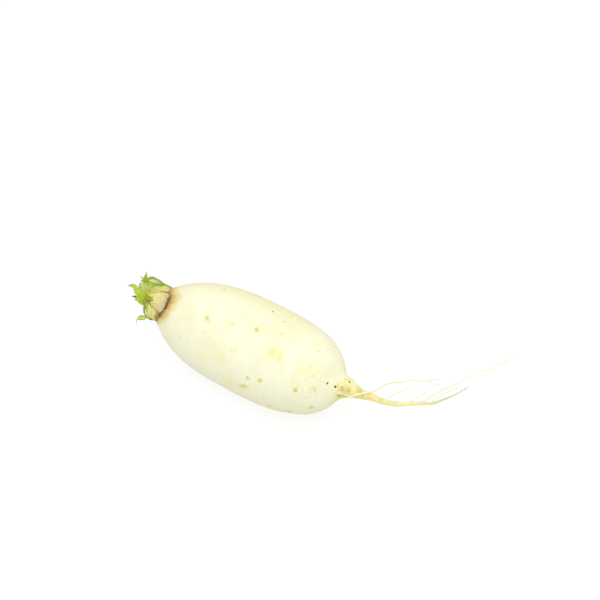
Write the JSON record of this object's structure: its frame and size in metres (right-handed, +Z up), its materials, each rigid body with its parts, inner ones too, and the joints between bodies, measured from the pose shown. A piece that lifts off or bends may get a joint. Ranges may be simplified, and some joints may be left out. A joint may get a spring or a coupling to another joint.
{
  "type": "white turnip",
  "caption": "Long white turnip lying on its side, with trimmed leaf stalks, small young leaves, a bending taproot and fine side roots.",
  "frame": {"origin": "middle of the small flat patch under the belly, on the surface that the turnip lies on", "axes": "+X runs from the crown with its leaves to the tail, +Z is up, and the taproot bends towards +Y"},
  "size_m": [0.2315, 0.1383, 0.0646],
  "materials": {
    "root_skin": "smooth waxy vegetable skin, white with a cream tint",
    "crown": "dull fleshy plant tissue, cream",
    "stalk": "fleshy stalk, pale yellow green, cut across",
    "leaf": "thin fresh leaf, yellow green",
    "side_root": "dull thin root, cream"
  },
  "bodies": {
    "root": {"swollen_root": "root_skin", "crown_stem": "crown", "cut_stalk_1": "stalk", "cut_stalk_2": "stalk", "cut_stalk_3": "stalk", "cut_stalk_4": "stalk", "cut_stalk_5": "stalk", "broad_leaf": "leaf", "arched_leaf": "leaf", "tufted_leaf": "leaf", "pale_leaf": "leaf", "curled_leaf": "leaf", "drooping_leaf": "leaf", "back_leaf_1": "leaf", "back_leaf_2": "leaf", "back_leaf_3": "leaf", "side_root_1": "side_root", "side_root_2": "side_root", "side_root_3": "side_root", "side_root_4": "side_root", "side_root_5": "side_root", "side_root_6": "side_root"}
  },
  "joints": []
}
